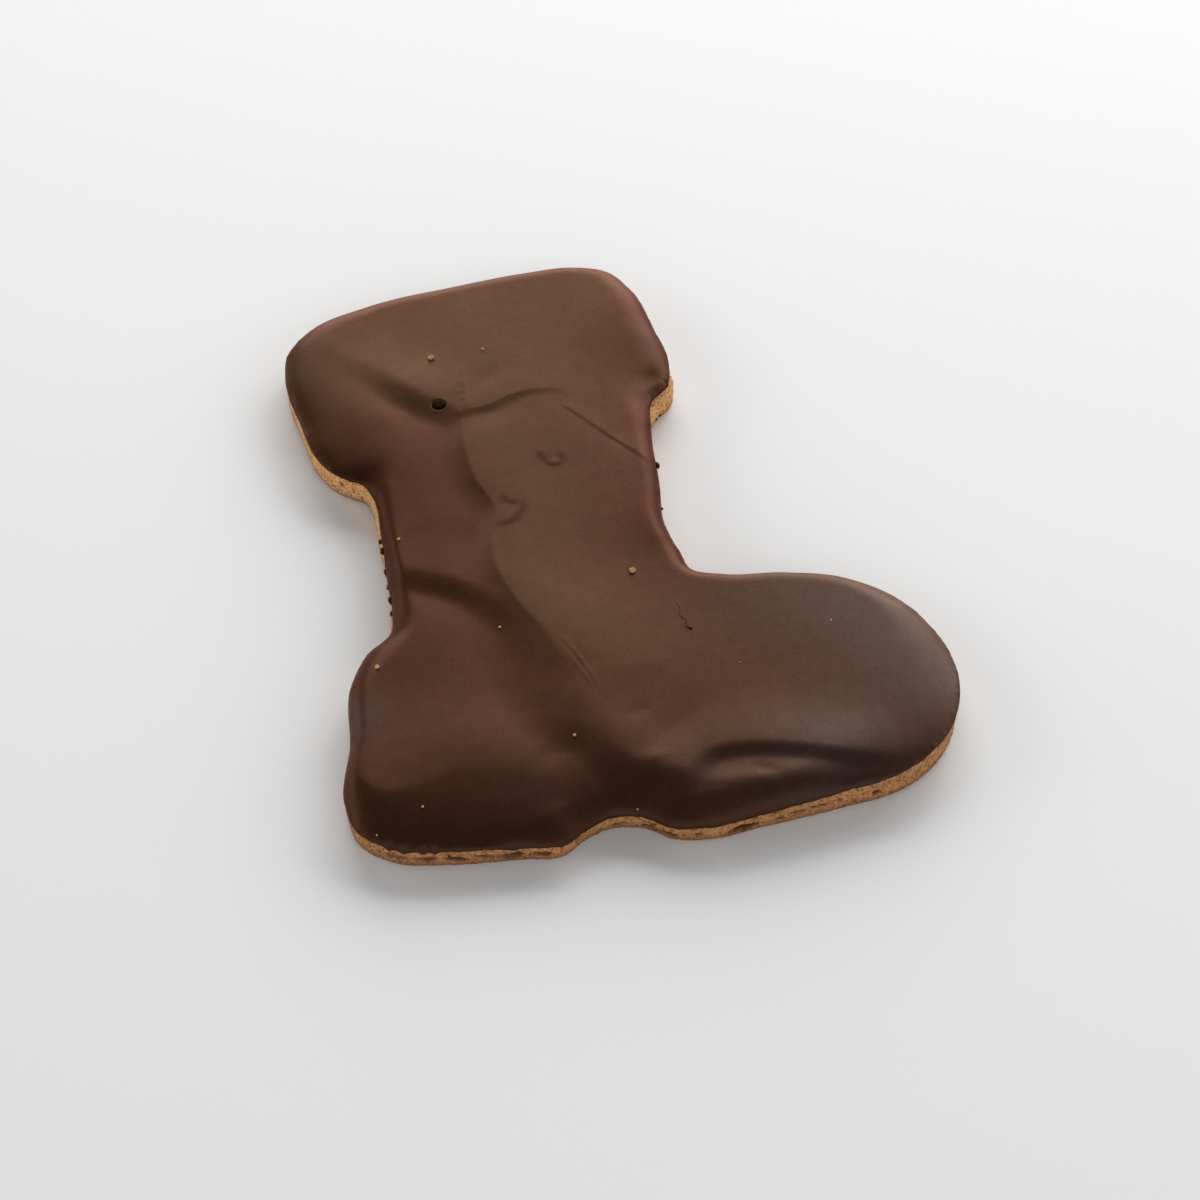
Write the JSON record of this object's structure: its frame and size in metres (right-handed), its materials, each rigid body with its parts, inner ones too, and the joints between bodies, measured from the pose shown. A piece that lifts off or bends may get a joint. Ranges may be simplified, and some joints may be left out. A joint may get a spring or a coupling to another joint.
{
  "type": "gingerbread boot cookie",
  "caption": "Flat gingerbread biscuit in the shape of a boot, with a poured dark chocolate coat over its top and upper edges.",
  "frame": {"origin": "centre of the bounding box of the flat underside, at the level of the surface it lies on", "axes": "+X from heel to toe, +Y from the sole up the shaft to the cuff, +Z out of the chocolate-coated face"},
  "size_m": [0.0841, 0.1211, 0.007],
  "materials": {
    "gingerbread": "dry, sandy baked crumb, dull",
    "chocolate": "set dark chocolate, satin sheen"
  },
  "bodies": {
    "root": {"gingerbread": "gingerbread", "chocolate_coat": "chocolate"}
  },
  "joints": []
}
